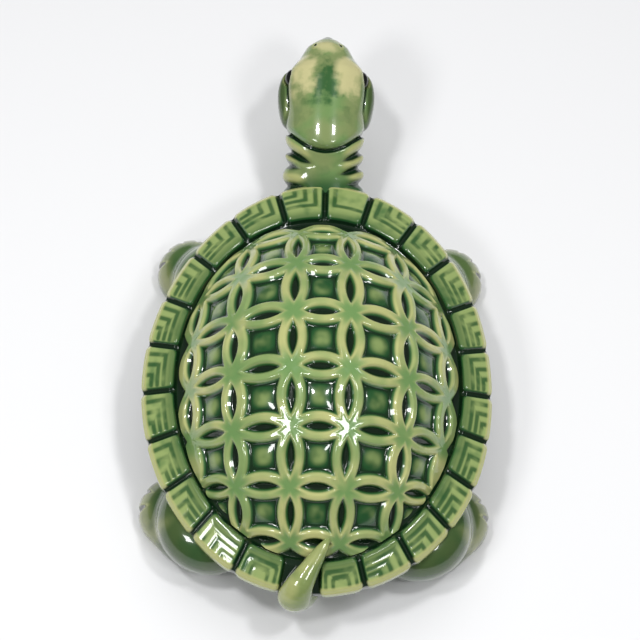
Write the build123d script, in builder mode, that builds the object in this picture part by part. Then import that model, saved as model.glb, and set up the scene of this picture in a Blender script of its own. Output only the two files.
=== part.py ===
"""A glazed earthenware turtle ornament with a hollow shell, in millimetres.

+Z is up, +Y is the way the head points and +X is the turtle's right side. While the pieces are
made, the middle of the shell's dome stands over x = 0, y = 0 and the soles rest on z = 0. At the
end every piece is moved so that the origin lies under the middle of the whole turtle.
"""

import os
from math import cos, hypot, radians, sin, sqrt

from build123d import *

os.makedirs("parts", exist_ok=True)

# Shell: the dome's outer form is measured over its raised lattice
dome_width = 99.0
dome_length = 129.0
dome_height = 34.7
dome_lift = 30.0
dome_arc = 45.0
dome_wall = 4.0

# Lattice of ring bands laid over the dome
lattice_relief = 2.2

# Rim: the flange round the dome and the scutes on it
channel_width = 2.6
scute_side_width = 9.8
scute_end_width = 10.7
rim_shift = 1.0
rim_drop = 4.6
rim_thickness = 3.0

# Scutes
scute_thickness = 1.6
scute_gap = 1.7
scute_corner = 1.5
scute_inset = 0.4
fret_width = 1.0
fret_depth = 0.7

# Belly: it draws in from the dome's foot
belly_lift = 8.0
belly_side_draft = 7.5
belly_end_draft = 8.5
belly_wall = 4.5
belly_edge = 7.0
vent_diameter = 6.0

# Neck: its line is one arc, from level inside the body to steep behind the head
neck_width = 30.0
neck_depth = 20.0
neck_base_depth = 11.0
neck_sink = 2.0
neck_bend = 66.5
neck_turn = 40.0
neck_fold = 1.5
neck_folds = 5

# Head: "out", "up", "down" and "back" are from its middle line and from the tip of its nose
head_length = 45.5
head_width = 28.8
head_depth = 24.0
head_tilt = 15.0
head_set_back = 6.4
head_set_down = 0.6
cheek_length = 19.0
cheek_width = 12.0
cheek_sink = 2.1
cheek_down = 1.0
cheek_back = 21.0
eye_diameter = 6.4
eye_sink = 2.2
eye_up = 2.6
eye_back = 17.5
nostril_diameter = 1.6
nostril_out = 4.2
nostril_up = 3.4
nostril_back = 3.6
mouth_gap = 0.9
mouth_depth = 0.8
mouth_down = 3.5
mouth_reach = 15.0

# Legs: "out", "in" and "back" are from the belly's side and end
foot_length = 35.0
foot_width = 26.0
foot_height = 16.0
front_foot_out = 2.5
front_foot_back = 6.5
front_foot_turn = 40.0
rear_foot_out = 4.0
rear_foot_back = 12.5
rear_foot_turn = 46.0
shoulder_in = 4.0
shoulder_back = 12.0
shoulder_width = 32.0
haunch_in = 6.0
haunch_back = 9.5
haunch_width = 38.0
haunch_height = 22.0
haunch_lift = 14.0
toe_notch_width = 2.6
toe_notch_length = 3.4

# Tail
tail_diameter = 9.6
tail_reach = 19.5
tail_rise = 14.5
tail_offset = 6.2
tail_heading = 32.0

# Every cut runs past what it cuts by this much
overrun = 2.0

# The dome's surface


def dome_height_at(x, y):
    """Height over the table of the lattice's top at a place in plan."""
    drop_share = (2 * x / dome_width) ** 2 + (2 * y / dome_length) ** 2
    steep = sin(radians(dome_arc)) ** 2
    level = cos(radians(dome_arc))
    rise_share = (sqrt(max(1 - steep * drop_share, 0)) - level) / (1 - level)
    return dome_lift + dome_height * rise_share


def dome_plane(x, y, along):
    """Plane that touches the dome at a place in plan, with its x direction towards `along`."""
    step = lattice_relief / 10
    slope_x = (dome_height_at(x + step, y) - dome_height_at(x - step, y)) / (2 * step)
    slope_y = (dome_height_at(x, y + step) - dome_height_at(x, y - step)) / (2 * step)
    outward = Vector(-slope_x, -slope_y, 1).normalized()
    place = Vector(x, y, dome_height_at(x, y))
    towards = Vector(along[0], along[1], dome_height_at(*along)) - place
    sideways = towards - outward * towards.dot(outward)
    return Plane(origin=place, x_dir=sideways, z_dir=outward)


def dome_cap(width, length, height):
    """Solid cap on the dome's foot: an arc turned about the middle and drawn out lengthways."""
    radius = width / 2 / sin(radians(dome_arc))
    sink = radius * cos(radians(dome_arc))
    with BuildPart() as cap:
        with BuildSketch(Plane.XZ):
            with BuildLine():
                edge = CenterArc((0, -sink), radius, 90 - dome_arc, dome_arc)
                Line(edge @ 1, (0, 0))
                Line((0, 0), edge @ 0)
            make_face()
        revolve(axis=Axis.Z)
        scale(by=(1, length / width, height / (radius - sink)))
    return cap.part.moved(Location((0, 0, dome_lift)))


rim_width = dome_width + 2 * (channel_width + scute_side_width)
rim_length = dome_length + 2 * (channel_width + scute_end_width)
belly_width = dome_width - 2 * belly_side_draft
belly_length = dome_length - 2 * belly_end_draft
floor_width = dome_width - 2 * lattice_relief
floor_length = dome_length - 2 * lattice_relief
floor_height = dome_height - lattice_relief
hollow_width = floor_width - 2 * dome_wall
hollow_length = floor_length - 2 * dome_wall
hollow_height = floor_height - dome_wall

dome_floor = dome_cap(floor_width, floor_length, floor_height)

with BuildPart() as carapace_dome:
    add(dome_floor)
    add(dome_cap(hollow_width, hollow_length, hollow_height), mode=Mode.SUBTRACT)
carapace_dome.part.label = "carapace_dome"

# The lattice's grid: where its rings cross, as shares of half the dome's width and length
column_shares = (-0.92, -0.616, -0.203, 0.203, 0.616, 0.92)
row_shares = (0.844, 0.551, 0.215, -0.108, -0.423, -0.704, -0.938)
column_pinch_share = 0.175
row_pinch_share = 0.15

# Forms of the holes, as shares of one step of the grid
lens_reach_share = 0.3
lens_side_share = 0.077
cell_corner_share = 0.3
cell_side_share = 0.245
corner_end_share = 0.1
corner_side_share = 0.04
border_node_share = 0.12
border_side_share = 0.27


def between(shares, place):
    """Value of a row of shares at a place counted in steps, carried on in line past its ends."""
    first = min(max(int(place), 0), len(shares) - 2)
    return shares[first] + (shares[first + 1] - shares[first]) * (place - first)


def grid_point(column, row):
    """Place in plan of a point of the grid: columns and rows draw together towards the edge."""
    x_share = between(column_shares, column)
    y_share = between(row_shares, row)
    x = dome_width / 2 * x_share * (1 - column_pinch_share * y_share**2)
    y = dome_length / 2 * y_share * (1 - row_pinch_share * x_share**2)
    return x, y


def hole_outline(column, row, corners, sides):
    """Outline of one hole on the plane that touches the dome there: arcs from corner to corner."""
    here = dome_plane(*grid_point(column, row), grid_point(column + cell_side_share, row))

    def on_plane(step):
        x, y = grid_point(column + step[0], row + step[1])
        local = here.to_local_coords(Vector(x, y, dome_height_at(x, y)))
        return local.X, local.Y

    with BuildSketch(here) as hole:
        with BuildLine():
            for start, side, end in zip(corners, sides, corners[1:] + corners[:1]):
                ThreePointArc(on_plane(start), on_plane(side), on_plane(end))
        make_face()
    return hole.sketch.face()


def cell_hole(column, row):
    """Hole between four rings, with hollow sides."""
    c, s = cell_corner_share, cell_side_share
    return hole_outline(column, row, [(-c, -c), (c, -c), (c, c), (-c, c)], [(0, -s), (s, 0), (0, s), (-s, 0)])


def lens_along_row(column, row):
    """Hole where two rings overlap, lying across the turtle."""
    r, s = lens_reach_share, lens_side_share
    return hole_outline(column, row, [(-r, 0), (r, 0)], [(0, -s), (0, s)])


def lens_along_column(column, row):
    """Hole where two rings overlap, lying along the turtle."""
    r, s = lens_reach_share, lens_side_share
    return hole_outline(column, row, [(0, -r), (0, r)], [(s, 0), (-s, 0)])


def corner_hole(column, row):
    """Three-sided hole in the corner beside the left front of the lattice."""
    c, s = cell_corner_share, cell_side_share
    end = corner_end_share
    corners = [(c, -end), (c, c), (-end, c)]
    sides = [(s, (c - end) / 2), ((c - end) / 2, s), (corner_side_share, corner_side_share)]
    return hole_outline(column, row, corners, sides)


# The lattice's border: arcs that swell round each outer ring and draw in at each crossing
last_column = len(column_shares) - 1
last_row = len(row_shares) - 1
border_nodes = (
    [(column, 0) for column in range(1, last_column)]
    + [(last_column, row) for row in range(1, last_row)]
    + [(column, last_row) for column in range(last_column - 1, 0, -1)]
    + [(0, row) for row in range(last_row - 1, 0, -1)]
)


def border_point(column, row, reach_share):
    """A point of the border, `reach_share` of a grid step outside a place on the outer rings."""
    middle_column, middle_row = last_column / 2, last_row / 2
    out_column = (column - middle_column) / middle_column
    out_row = (row - middle_row) / middle_row
    length = hypot(out_column**3, out_row**3)
    step_column = reach_share * out_column**3 / length
    step_row = reach_share * out_row**3 / length
    return grid_point(column + step_column, row + step_row)


holes = [corner_hole(0.5, 0.5)]
for row in range(last_row):
    for column in range(last_column):
        at_corner = column in (0, last_column - 1) and row in (0, last_row - 1)
        if not at_corner:
            holes.append(cell_hole(column + 0.5, row + 0.5))
for row in range(last_row):
    for column in range(1, last_column):
        holes.append(lens_along_column(column, row + 0.5))
for row in range(1, last_row - 2):
    holes.append(lens_along_column(0, row + 0.5))
    holes.append(lens_along_column(last_column, row + 0.5))
for row in range(1, last_row):
    for column in range(last_column):
        holes.append(lens_along_row(column + 0.5, row))
for column in range(1, last_column - 1):
    holes.append(lens_along_row(column + 0.5, 0))
holes.append(lens_along_row(last_column / 2, last_row))

with BuildPart() as coin_lattice:
    add(dome_cap(dome_width, dome_length, dome_height))
    add(dome_floor, mode=Mode.SUBTRACT)
    with BuildSketch(Plane.XY.offset(dome_lift)):
        with BuildLine():
            for here, there in zip(border_nodes, border_nodes[1:] + border_nodes[:1]):
                middle = ((here[0] + there[0]) / 2, (here[1] + there[1]) / 2)
                ThreePointArc(
                    border_point(*here, border_node_share),
                    border_point(*middle, border_side_share),
                    border_point(*there, border_node_share),
                )
        make_face()
    extrude(amount=dome_height + overrun, mode=Mode.INTERSECT)
    extrude(holes, amount=2 * lattice_relief, both=True, mode=Mode.SUBTRACT)
coin_lattice.part.label = "coin_lattice"

# Rim: a sloping flange, worked out between an ellipse at the channel and one at the rim's edge
scute_inner_width = dome_width + 2 * channel_width
scute_inner_length = dome_length + 2 * channel_width
rim_low = dome_lift - rim_thickness
slope_reach_share = 0.2


def rim_place(angle, share, rise=0):
    """A point over the flange: share 0 at the channel and 1 at the rim's edge, raised by `rise`."""
    turn = radians(angle)
    width = scute_inner_width + (rim_width - scute_inner_width) * share
    length = scute_inner_length + (rim_length - scute_inner_length) * share
    x = width / 2 * sin(turn)
    y = length / 2 * cos(turn) + rim_shift * share
    return Vector(x, y, dome_lift - rim_drop * share + rise)


def slope_block(rise):
    """Solid whose sloping side is the flange's top raised by `rise`, carried on past both ends."""
    with BuildPart() as block:
        for share in (-slope_reach_share, 1 + slope_reach_share):
            side = rim_place(90, share, rise)
            front = rim_place(0, share, rise)
            with BuildSketch(Plane(origin=(0, rim_shift * share, side.Z))):
                Ellipse(side.X, front.Y - rim_shift * share)
        loft(ruled=True)
    return block.part


def ellipse_block(width, length, shift, low, high):
    """Upright solid with an ellipse for its plan, between two heights."""
    with BuildPart() as block:
        with BuildSketch(Plane(origin=(0, shift, low))):
            Ellipse(width / 2, length / 2)
        extrude(amount=high - low)
    return block.part


rim_slope = slope_block(0)
rim_edge_low = dome_lift - rim_drop - rim_thickness

with BuildPart() as rim_underside:
    with BuildSketch(Plane.XY.offset(rim_low)):
        Ellipse(dome_width / 2, dome_length / 2)
    with BuildSketch(Plane(origin=(0, rim_shift, rim_edge_low))):
        Ellipse(rim_width / 2, rim_length / 2)
    loft(ruled=True)

with BuildPart() as carapace_rim:
    add(ellipse_block(rim_width, rim_length, rim_shift, rim_edge_low, dome_lift))
    add(rim_slope, mode=Mode.INTERSECT)
    add(rim_underside.part, mode=Mode.SUBTRACT)
    add(ellipse_block(hollow_width, hollow_length, 0, rim_low - overrun, dome_lift + overrun), mode=Mode.SUBTRACT)
carapace_rim.part.label = "carapace_rim"

# Scutes: angles go from the front, by the right side, and the tail lies in the gap left open
right_scute_angles = (0.7, 16.6, 33.3, 48.8, 64.0, 78.2, 91.8, 104.6, 118.2, 131.6, 146.5, 163.0, 178.5)
left_scute_angles = (0.7, -15.6, -32.8, -49.8, -65.6, -79.8, -93.8, -107.6, -122.2, -136.8, -153.4, -169.5)
fret_start_shares = (0.2, 0.42, 0.64)
fret_inner_shares = (0.2, 0.42, 0.64)
fret_outer_share = 0.84

scute_band = slope_block(scute_thickness) - rim_slope


def make_scute(front_angle, rear_angle, strokes):
    """One scute between two angles, with nested angle strokes cut in its top."""
    middle_angle = (front_angle + rear_angle) / 2
    front_line = rim_place(front_angle, 1) - rim_place(front_angle, 0)
    outer_share = 1 - scute_inset / front_line.length
    middle = rim_place(middle_angle, 0.5, scute_thickness)
    towards_rear = rim_place(rear_angle, 0.5) - rim_place(front_angle, 0.5)
    outward = rim_place(middle_angle, 1) - rim_place(middle_angle, 0)
    normal = towards_rear.cross(outward)
    if normal.Z < 0:
        normal = -normal
    top = Plane(origin=middle, x_dir=towards_rear, z_dir=normal)
    half_gap = towards_rear.normalized() * (scute_gap / 2)
    length_share = fret_width / towards_rear.length
    across_share = fret_width / front_line.length

    def in_plan(angle, share, shift):
        place = rim_place(angle, share) + shift
        return place.X, place.Y

    def on_top(along, across):
        angle = front_angle + (rear_angle - front_angle) * along
        local = top.to_local_coords(rim_place(angle, across, scute_thickness))
        return local.X, local.Y

    with BuildPart() as scute:
        with BuildSketch(Plane.XY.offset(rim_edge_low)) as plan:
            with BuildLine():
                outer_side = ThreePointArc(
                    in_plan(front_angle, outer_share, half_gap),
                    in_plan(middle_angle, outer_share, Vector()),
                    in_plan(rear_angle, outer_share, -half_gap),
                )
                inner_side = ThreePointArc(
                    in_plan(rear_angle, 0, -half_gap),
                    in_plan(middle_angle, 0, Vector()),
                    in_plan(front_angle, 0, half_gap),
                )
                Line(outer_side @ 1, inner_side @ 0)
                Line(inner_side @ 1, outer_side @ 0)
            make_face()
            fillet(plan.vertices(), radius=scute_corner)
        extrude(amount=dome_lift + 2 * scute_thickness - rim_edge_low)
        add(scute_band, mode=Mode.INTERSECT)
        with BuildSketch(top):
            for start, inner in strokes:
                corners = [
                    (start, fret_outer_share),
                    (start, inner),
                    (1 + length_share, inner),
                    (1 + length_share, inner + across_share),
                    (start + length_share, inner + across_share),
                    (start + length_share, fret_outer_share),
                ]
                Polygon(*[on_top(*corner) for corner in corners], align=None)
        extrude(amount=fret_depth, both=True, mode=Mode.SUBTRACT)
    return scute.part


scutes = []
for angles in (right_scute_angles, left_scute_angles):
    for front_angle, rear_angle in zip(angles, angles[1:]):
        strokes = list(zip(fret_start_shares, fret_inner_shares))
        if not scutes:
            strokes = strokes[:1]
        scute = make_scute(front_angle, rear_angle, strokes)
        scute.label = f"marginal_scute_{len(scutes) + 1:02d}"
        scutes.append(scute)

# Belly: a bowl under the rim, hollow like the dome, with the hole that lets air out in the kiln


def bowl(inset, floor_rise):
    """Solid bowl under the rim: smaller all round by `inset`, with its floor raised."""
    with BuildPart() as block:
        with BuildSketch(Plane.XY.offset(rim_low)):
            Ellipse(dome_width / 2 - inset, dome_length / 2 - inset)
        with BuildSketch(Plane.XY.offset(belly_lift + floor_rise)):
            Ellipse(belly_width / 2 - inset, belly_length / 2 - inset)
        loft(ruled=True)
        fillet(block.edges().sort_by(Axis.Z)[0], radius=belly_edge - inset)
    return block.part


belly_block = bowl(0, 0)

with BuildPart() as plastron:
    add(belly_block)
    add(bowl(belly_wall, belly_wall), mode=Mode.SUBTRACT)
    with Locations((0, 0, belly_lift)):
        Cylinder(vent_diameter / 2, 2 * (belly_wall + overrun), mode=Mode.SUBTRACT)
plastron.part.label = "plastron"

# Head: an egg turned about its own line and flattened, in a frame with z forward and y up


def neck_frame(share):
    """Plane square to the neck's line, at a share of its length from inside the body."""
    turn = radians(neck_turn) * share
    y = belly_length / 2 - neck_sink + neck_bend * sin(turn)
    z = belly_lift + neck_base_depth / 2 + neck_bend * (1 - cos(turn))
    return Plane(origin=(0, y, z), x_dir=(-1, 0, 0), z_dir=(0, cos(turn), sin(turn)))


neck_top = neck_frame(1).origin
head_frame = Plane(
    origin=(0, neck_top.Y - head_set_back, neck_top.Z - head_set_down),
    x_dir=(-1, 0, 0),
    z_dir=(0, cos(radians(head_tilt)), sin(radians(head_tilt))),
)
skull_length_shares = (0.0, 0.18, 0.45, 0.62, 0.71, 0.79, 0.86, 0.92, 0.97, 1.0)
skull_width_shares = (0.0, 0.97, 1.0, 1.0, 0.95, 0.8, 0.62, 0.46, 0.28, 0.0)


def skull_form(inset):
    """The skull's solid before it is flattened, smaller all round by `inset`, with its seam on top."""
    width = head_width - 2 * inset
    length = head_length - 2 * inset
    with BuildPart() as form:
        with BuildSketch(Plane.XZ):
            with BuildLine():
                places = [
                    (width / 2 * across, inset + length * along)
                    for along, across in zip(skull_length_shares, skull_width_shares)
                ]
                side = Spline(*places, tangents=[(1, 0), (-1, 0)])
                Line(side @ 1, side @ 0)
            make_face()
        revolve(axis=Axis.Z)
    return form.part.rotate(Axis.Z, 90)


flat_share = head_depth / head_width
cheek_out = head_width / 2 - cheek_sink
eye_out = head_width / 2 - eye_sink

with BuildPart() as mouth:
    with Locations((0, -mouth_down / flat_share, head_length)):
        Box(head_width, mouth_gap / flat_share, 2 * mouth_reach)
    add(skull_form(mouth_depth), mode=Mode.SUBTRACT)

with BuildPart() as cheek:
    with BuildSketch(Plane.XZ):
        Ellipse(cheek_width / 2, cheek_length / 2)
        split(bisect_by=Plane.YZ)
    revolve(axis=Axis.Z)

with BuildPart() as head_form:
    add(skull_form(0))
    for side in (-1, 1):
        cheek_place = Location((side * cheek_out, -cheek_down / flat_share, head_length - cheek_back))
        add(cheek.part.moved(cheek_place))
    add(mouth.part, mode=Mode.SUBTRACT)
    scale(by=(1, flat_share, 1))
    with Locations(*[(side * nostril_out, nostril_up, head_length - nostril_back) for side in (-1, 1)]):
        Sphere(nostril_diameter / 2, mode=Mode.SUBTRACT)
    for side in (-1, 1):
        # Each socket's sphere has its seam towards the skull's middle, so that both cuts mesh alike
        with Locations((side * eye_out, eye_up, head_length - eye_back)):
            Sphere(eye_diameter / 2, rotation=(0, 0, 90 + 90 * side), mode=Mode.SUBTRACT)

with BuildPart() as head:
    add(head_form.part.moved(head_frame.location))
    split(bisect_by=neck_frame(1), keep=Keep.TOP)
head.part.label = "head"

eye_pieces = []
for name, side in (("left_eye", 1), ("right_eye", -1)):
    with BuildPart(head_frame) as eye:
        with Locations((side * eye_out, eye_up, head_length - eye_back)):
            Sphere(eye_diameter / 2)
    eye.part.label = name
    eye_pieces.append(eye.part)

# Neck: folds of skin swell and draw in along its line
fold_steps = 4
neck_steps = neck_folds * fold_steps

with BuildPart() as neck:
    for step in range(neck_steps + 1):
        along_share = step / neck_steps
        crease = neck_fold * cos(radians(180 * neck_folds * along_share)) ** 2
        depth = neck_base_depth + (neck_depth - neck_base_depth) * along_share
        with BuildSketch(neck_frame(along_share)):
            Ellipse(neck_width / 2 - crease, depth / 2 - crease)
    loft(ruled=True)
    add(belly_block, mode=Mode.SUBTRACT)
    add(carapace_rim.part, mode=Mode.SUBTRACT)
    for scute in (scutes[0], scutes[len(right_scute_angles) - 1]):
        add(scute, mode=Mode.SUBTRACT)
neck.part.label = "neck"

# Legs: a haunch against the belly and a foot with a flat sole, parted into toes
toe_notch_angles = (-48.0, -17.0, 14.0, 45.0)


def capsule(length, width):
    """Round-ended bar along x: a slot's outline turned about its long middle line."""
    with BuildPart() as bar:
        with BuildSketch():
            SlotOverall(length, width)
            split(bisect_by=Plane.XZ)
        revolve(axis=Axis.X)
    return bar.part


def round_edged_disc(width, height):
    """Level disc with a round edge: a slot's outline turned about its short middle line."""
    with BuildPart() as disc:
        with BuildSketch(Plane.XZ):
            SlotOverall(width, height)
            split(bisect_by=Plane.YZ)
        revolve(axis=Axis.Z)
    return disc.part


def make_leg(side, x, y, turn, haunch_x, haunch_y, haunch_width):
    """One leg: `turn` is the foot's heading outward from straight ahead."""
    heading = radians(turn)
    ahead = Vector(side * sin(heading), cos(heading))
    across = Vector(-ahead.Y, ahead.X) * side
    foot_middle = Vector(side * x, y)
    toe_middle = foot_middle + ahead * ((foot_length - foot_width) / 2)

    def at_toes(angle, reach):
        radius = foot_width / 2 + reach
        return toe_middle + ahead * (radius * cos(radians(angle))) + across * (radius * sin(radians(angle)))

    with BuildPart() as leg:
        foot_place = Location((side * x, y, foot_height - foot_width / 2), (0, 0, 90 - side * turn))
        add(capsule(foot_length, foot_width).moved(foot_place))
        haunch_place = Location((side * haunch_x, haunch_y, haunch_lift))
        add(round_edged_disc(haunch_width, haunch_height).moved(haunch_place))
        split(bisect_by=Plane.XY, keep=Keep.TOP)
        with BuildSketch():
            for angle in toe_notch_angles:
                tip = at_toes(angle, -toe_notch_length)
                mouth_middle = at_toes(angle, overrun)
                half_mouth = (mouth_middle - tip).cross(Vector(0, 0, 1)).normalized() * (toe_notch_width / 2)
                corners = [tip, mouth_middle + half_mouth, mouth_middle - half_mouth]
                Polygon(*[(corner.X, corner.Y) for corner in corners], align=None)
        extrude(amount=foot_height, mode=Mode.SUBTRACT)
        add(belly_block, mode=Mode.SUBTRACT)
        add(carapace_rim.part, mode=Mode.SUBTRACT)
    return leg.part


legs = []
for side_name, side in (("left", -1), ("right", 1)):
    front = make_leg(
        side,
        belly_width / 2 + front_foot_out,
        belly_length / 2 - front_foot_back,
        front_foot_turn,
        belly_width / 2 - shoulder_in,
        belly_length / 2 - shoulder_back,
        shoulder_width,
    )
    front.label = f"front_{side_name}_leg"
    rear = make_leg(
        side,
        belly_width / 2 + rear_foot_out,
        rear_foot_back - belly_length / 2,
        rear_foot_turn,
        belly_width / 2 - haunch_in,
        haunch_back - belly_length / 2,
        haunch_width,
    )
    rear.label = f"rear_{side_name}_leg"
    legs.extend([front, rear])

# Tail: out from under the rim, round its edge and up against the dome
tail_along_shares = (1.0, 0.26, 0.0, 0.13, 0.43, 0.73, 1.0)
tail_up_shares = (-1.0, -0.83, -0.4, 0.02, 0.2, 0.31, 0.41)
tail_taper_share = 0.84
tail_steps = 16

tail_way = Vector(sin(radians(tail_heading)), cos(radians(tail_heading)))
tail_across = Vector(-tail_way.Y, tail_way.X)
tail_start = Vector(-tail_offset, rim_shift - rim_length / 2, dome_lift)
tail_line = Edge.make_spline(
    [
        tail_start + tail_way * (tail_reach * along) + Vector(0, 0, tail_rise * up)
        for along, up in zip(tail_along_shares, tail_up_shares)
    ]
)

with BuildPart() as tail:
    for step in range(tail_steps + 1):
        along_share = step / tail_steps
        girth_share = 1 - tail_taper_share * along_share**3
        section = Plane(origin=tail_line @ along_share, x_dir=tail_across, z_dir=tail_line % along_share)
        with BuildSketch(section):
            Circle(tail_diameter / 2 * girth_share)
    loft(ruled=True)
    add(belly_block, mode=Mode.SUBTRACT)
    add(carapace_rim.part, mode=Mode.SUBTRACT)
    add(dome_cap(dome_width, dome_length, dome_height), mode=Mode.SUBTRACT)
    for scute in (scutes[len(right_scute_angles) - 2], scutes[-1]):
        add(scute, mode=Mode.SUBTRACT)
tail.part.label = "tail"

# Every piece is moved so that the origin lies under the middle of the whole turtle
pieces = [carapace_dome.part, coin_lattice.part, carapace_rim.part, *scutes]
pieces += [plastron.part, neck.part, head.part, *eye_pieces, *legs, tail.part]
boxes = [piece.bounding_box() for piece in pieces]
middle_x = (min(box.min.X for box in boxes) + max(box.max.X for box in boxes)) / 2
middle_y = (min(box.min.Y for box in boxes) + max(box.max.Y for box in boxes)) / 2
low = min(box.min.Z for box in boxes)
for piece in pieces:
    placed = piece.moved(Location((-middle_x, -middle_y, -low)))
    export_step(placed, f"parts/{piece.label}.step")
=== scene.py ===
"""Looks for the glazed turtle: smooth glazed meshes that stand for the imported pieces.

Shapes are worked out in millimetres, with the middle of the shell's dome over x = 0, y = 0 and the
table at z = 0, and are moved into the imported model's frame when a mesh is made.
"""

from math import cos, radians, sin

import bpy
import numpy as np
from mathutils import Matrix, Vector


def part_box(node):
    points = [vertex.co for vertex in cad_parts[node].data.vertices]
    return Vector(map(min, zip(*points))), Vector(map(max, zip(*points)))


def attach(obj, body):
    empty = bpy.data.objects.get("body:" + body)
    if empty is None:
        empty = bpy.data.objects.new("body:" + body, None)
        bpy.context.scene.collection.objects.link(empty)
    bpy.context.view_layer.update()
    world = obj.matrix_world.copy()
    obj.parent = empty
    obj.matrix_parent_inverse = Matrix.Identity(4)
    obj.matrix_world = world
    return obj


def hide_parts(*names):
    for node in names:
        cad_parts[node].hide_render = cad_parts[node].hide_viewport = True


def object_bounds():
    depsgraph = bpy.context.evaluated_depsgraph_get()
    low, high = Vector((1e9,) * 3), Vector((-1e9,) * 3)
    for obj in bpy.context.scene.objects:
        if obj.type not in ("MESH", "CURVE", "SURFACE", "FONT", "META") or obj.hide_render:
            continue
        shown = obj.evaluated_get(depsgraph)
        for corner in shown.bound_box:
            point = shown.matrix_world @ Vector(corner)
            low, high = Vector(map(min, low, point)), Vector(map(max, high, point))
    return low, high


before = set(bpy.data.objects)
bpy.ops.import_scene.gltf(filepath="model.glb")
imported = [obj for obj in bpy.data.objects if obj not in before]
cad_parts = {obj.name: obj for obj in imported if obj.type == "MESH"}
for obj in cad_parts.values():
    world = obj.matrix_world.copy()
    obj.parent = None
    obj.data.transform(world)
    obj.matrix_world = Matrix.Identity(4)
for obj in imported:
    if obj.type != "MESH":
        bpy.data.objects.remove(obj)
cad_low, cad_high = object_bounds()

MM = 0.001
dome_low, dome_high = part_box("carapace_dome")
belly_low, belly_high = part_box("plastron")
DOME_MIDDLE_Y = (dome_low.y + dome_high.y) / 2 / MM

# Shell, in millimetres
DOME_WIDTH = (belly_high.x - belly_low.x) / MM
DOME_LENGTH = (belly_high.y - belly_low.y) / MM
DOME_LIFT = dome_low.z / MM
DOME_HEIGHT = cad_high.z / MM - DOME_LIFT
DOME_ARC = 45.0
RELIEF = 2.1
WALL_REACH = 1.1
BAND_REACH = 1.2
FLOOR_SWELL = 0.6
NODE_SINK = 0.4
CHANNEL_WIDTH = 2.6
SCUTE_SIDE_WIDTH = 9.8
SCUTE_END_WIDTH = 10.7
SCUTE_THICKNESS = 1.6
SCUTE_GAP = 1.7
SCUTE_INSET = 1.7
FRONT_INSET = 2.0
RIM_SHIFT = 1.0
RIM_DROP = 4.6
RIM_THICKNESS = 3.0

# The lattice's grid, as in the CAD model
COLUMN_SHARES = np.array([-0.92, -0.616, -0.203, 0.203, 0.616, 0.92])
ROW_SHARES = np.array([0.844, 0.551, 0.215, -0.108, -0.423, -0.704, -0.938])
COLUMN_PINCH_SHARE = 0.175
ROW_PINCH_SHARE = 0.15
LENS_REACH_SHARE = 0.3
LENS_SIDE_SHARE = 0.077
CELL_CORNER_SHARE = 0.3
CELL_SIDE_SHARE = 0.245
BORDER_NODE_SHARE = 0.12
BORDER_SIDE_SHARE = 0.27
LENS_BORDER_SHARE = 0.1
GRID_ROUNDS = 12
NUDGE = 0.01
STEEP_SHARES = (0.6, 1.6)

# Where each scute of the rim starts and ends, in degrees from the front

RIGHT_ANGLES = [0.7, 16.6, 33.3, 48.8, 64.0, 78.2, 91.8, 104.6, 118.2, 131.6, 146.5, 163.0, 178.5]
LEFT_ANGLES = [0.7, -15.6, -32.8, -49.8, -65.6, -79.8, -93.8, -107.6, -122.2, -136.8, -153.4, -169.5]

TINY = 1e-6
FAR = 9.0


def oval_gap(x, y, half_width, half_depth):
    """Distance outside an oval, near enough for blending."""
    scaled = np.sqrt((x / half_width) ** 2 + (y / half_depth) ** 2)
    steep = np.sqrt((x / half_width**2) ** 2 + (y / half_depth**2) ** 2)
    return scaled * (scaled - 1) / np.maximum(steep, TINY)


def step_up(value, low, high):
    """0 below `low`, 1 above `high` and a smooth rise between them."""
    share = np.clip((value - low) / (high - low), 0, 1)
    return share * share * (3 - 2 * share)


def window(value, start, full, fade, end):
    """1 between two smooth slopes and 0 outside them."""
    return step_up(value, start, full) * (1 - step_up(value, fade, end))


def between(value, low, high):
    """Whether a value lies between two limits."""
    return (value > low) & (value < high)


def blend_least(first, second, width):
    """The lesser of two distances, rounded over `width` where they meet."""
    share = np.clip(0.5 + 0.5 * (second - first) / width, 0, 1)
    return second + (first - second) * share - width * share * (1 - share)


def blend_most(first, second, width):
    """The greater of two distances, rounded over `width` where they meet."""
    return -blend_least(-first, -second, width)


# Meshes


def add_object(name, data):
    made = bpy.data.objects.new(name, data)
    bpy.context.scene.collection.objects.link(made)
    return made


def make_piece(name, points, faces, nodes, material, slot, **marks):
    """A mesh that stands for CAD nodes; each of its marks is a number per point for the glaze."""
    mesh = bpy.data.meshes.new(name)
    placed = np.array(points, dtype=np.float64)
    placed[:, 1] += DOME_MIDDLE_Y
    faces = np.asarray(faces, dtype=np.int32)
    sides = faces.shape[1]
    mesh.vertices.add(len(placed))
    mesh.vertices.foreach_set("co", (placed * MM).astype(np.float32).ravel())
    mesh.loops.add(faces.size)
    mesh.loops.foreach_set("vertex_index", faces.ravel())
    mesh.polygons.add(len(faces))
    mesh.polygons.foreach_set("loop_start", np.arange(0, faces.size, sides, dtype=np.int32))
    mesh.polygons.foreach_set("use_smooth", np.ones(len(faces), dtype=bool))
    mesh.update(calc_edges=True)
    for label, values in marks.items():
        layer = mesh.attributes.new(label, "FLOAT", "POINT")
        layer.data.foreach_set("value", np.asarray(values, dtype=np.float32))
    mesh.materials.append(material)
    piece = add_object(name, mesh)
    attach(piece, "root")
    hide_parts(*nodes)


def grid_faces(rows, columns, closed=False):
    """Faces of a sheet of points laid row by row; `closed` joins the last column to the first."""
    index = np.arange(rows * columns).reshape(rows, columns)
    if closed:
        index = np.concatenate([index, index[:, :1]], axis=1)
    corners = [index[:-1, :-1], index[:-1, 1:], index[1:, 1:], index[1:, :-1]]
    return np.stack([corner.ravel() for corner in corners], axis=1)


SLOPE_REACH = 0.05
SETTLE_ROUNDS = 4


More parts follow.
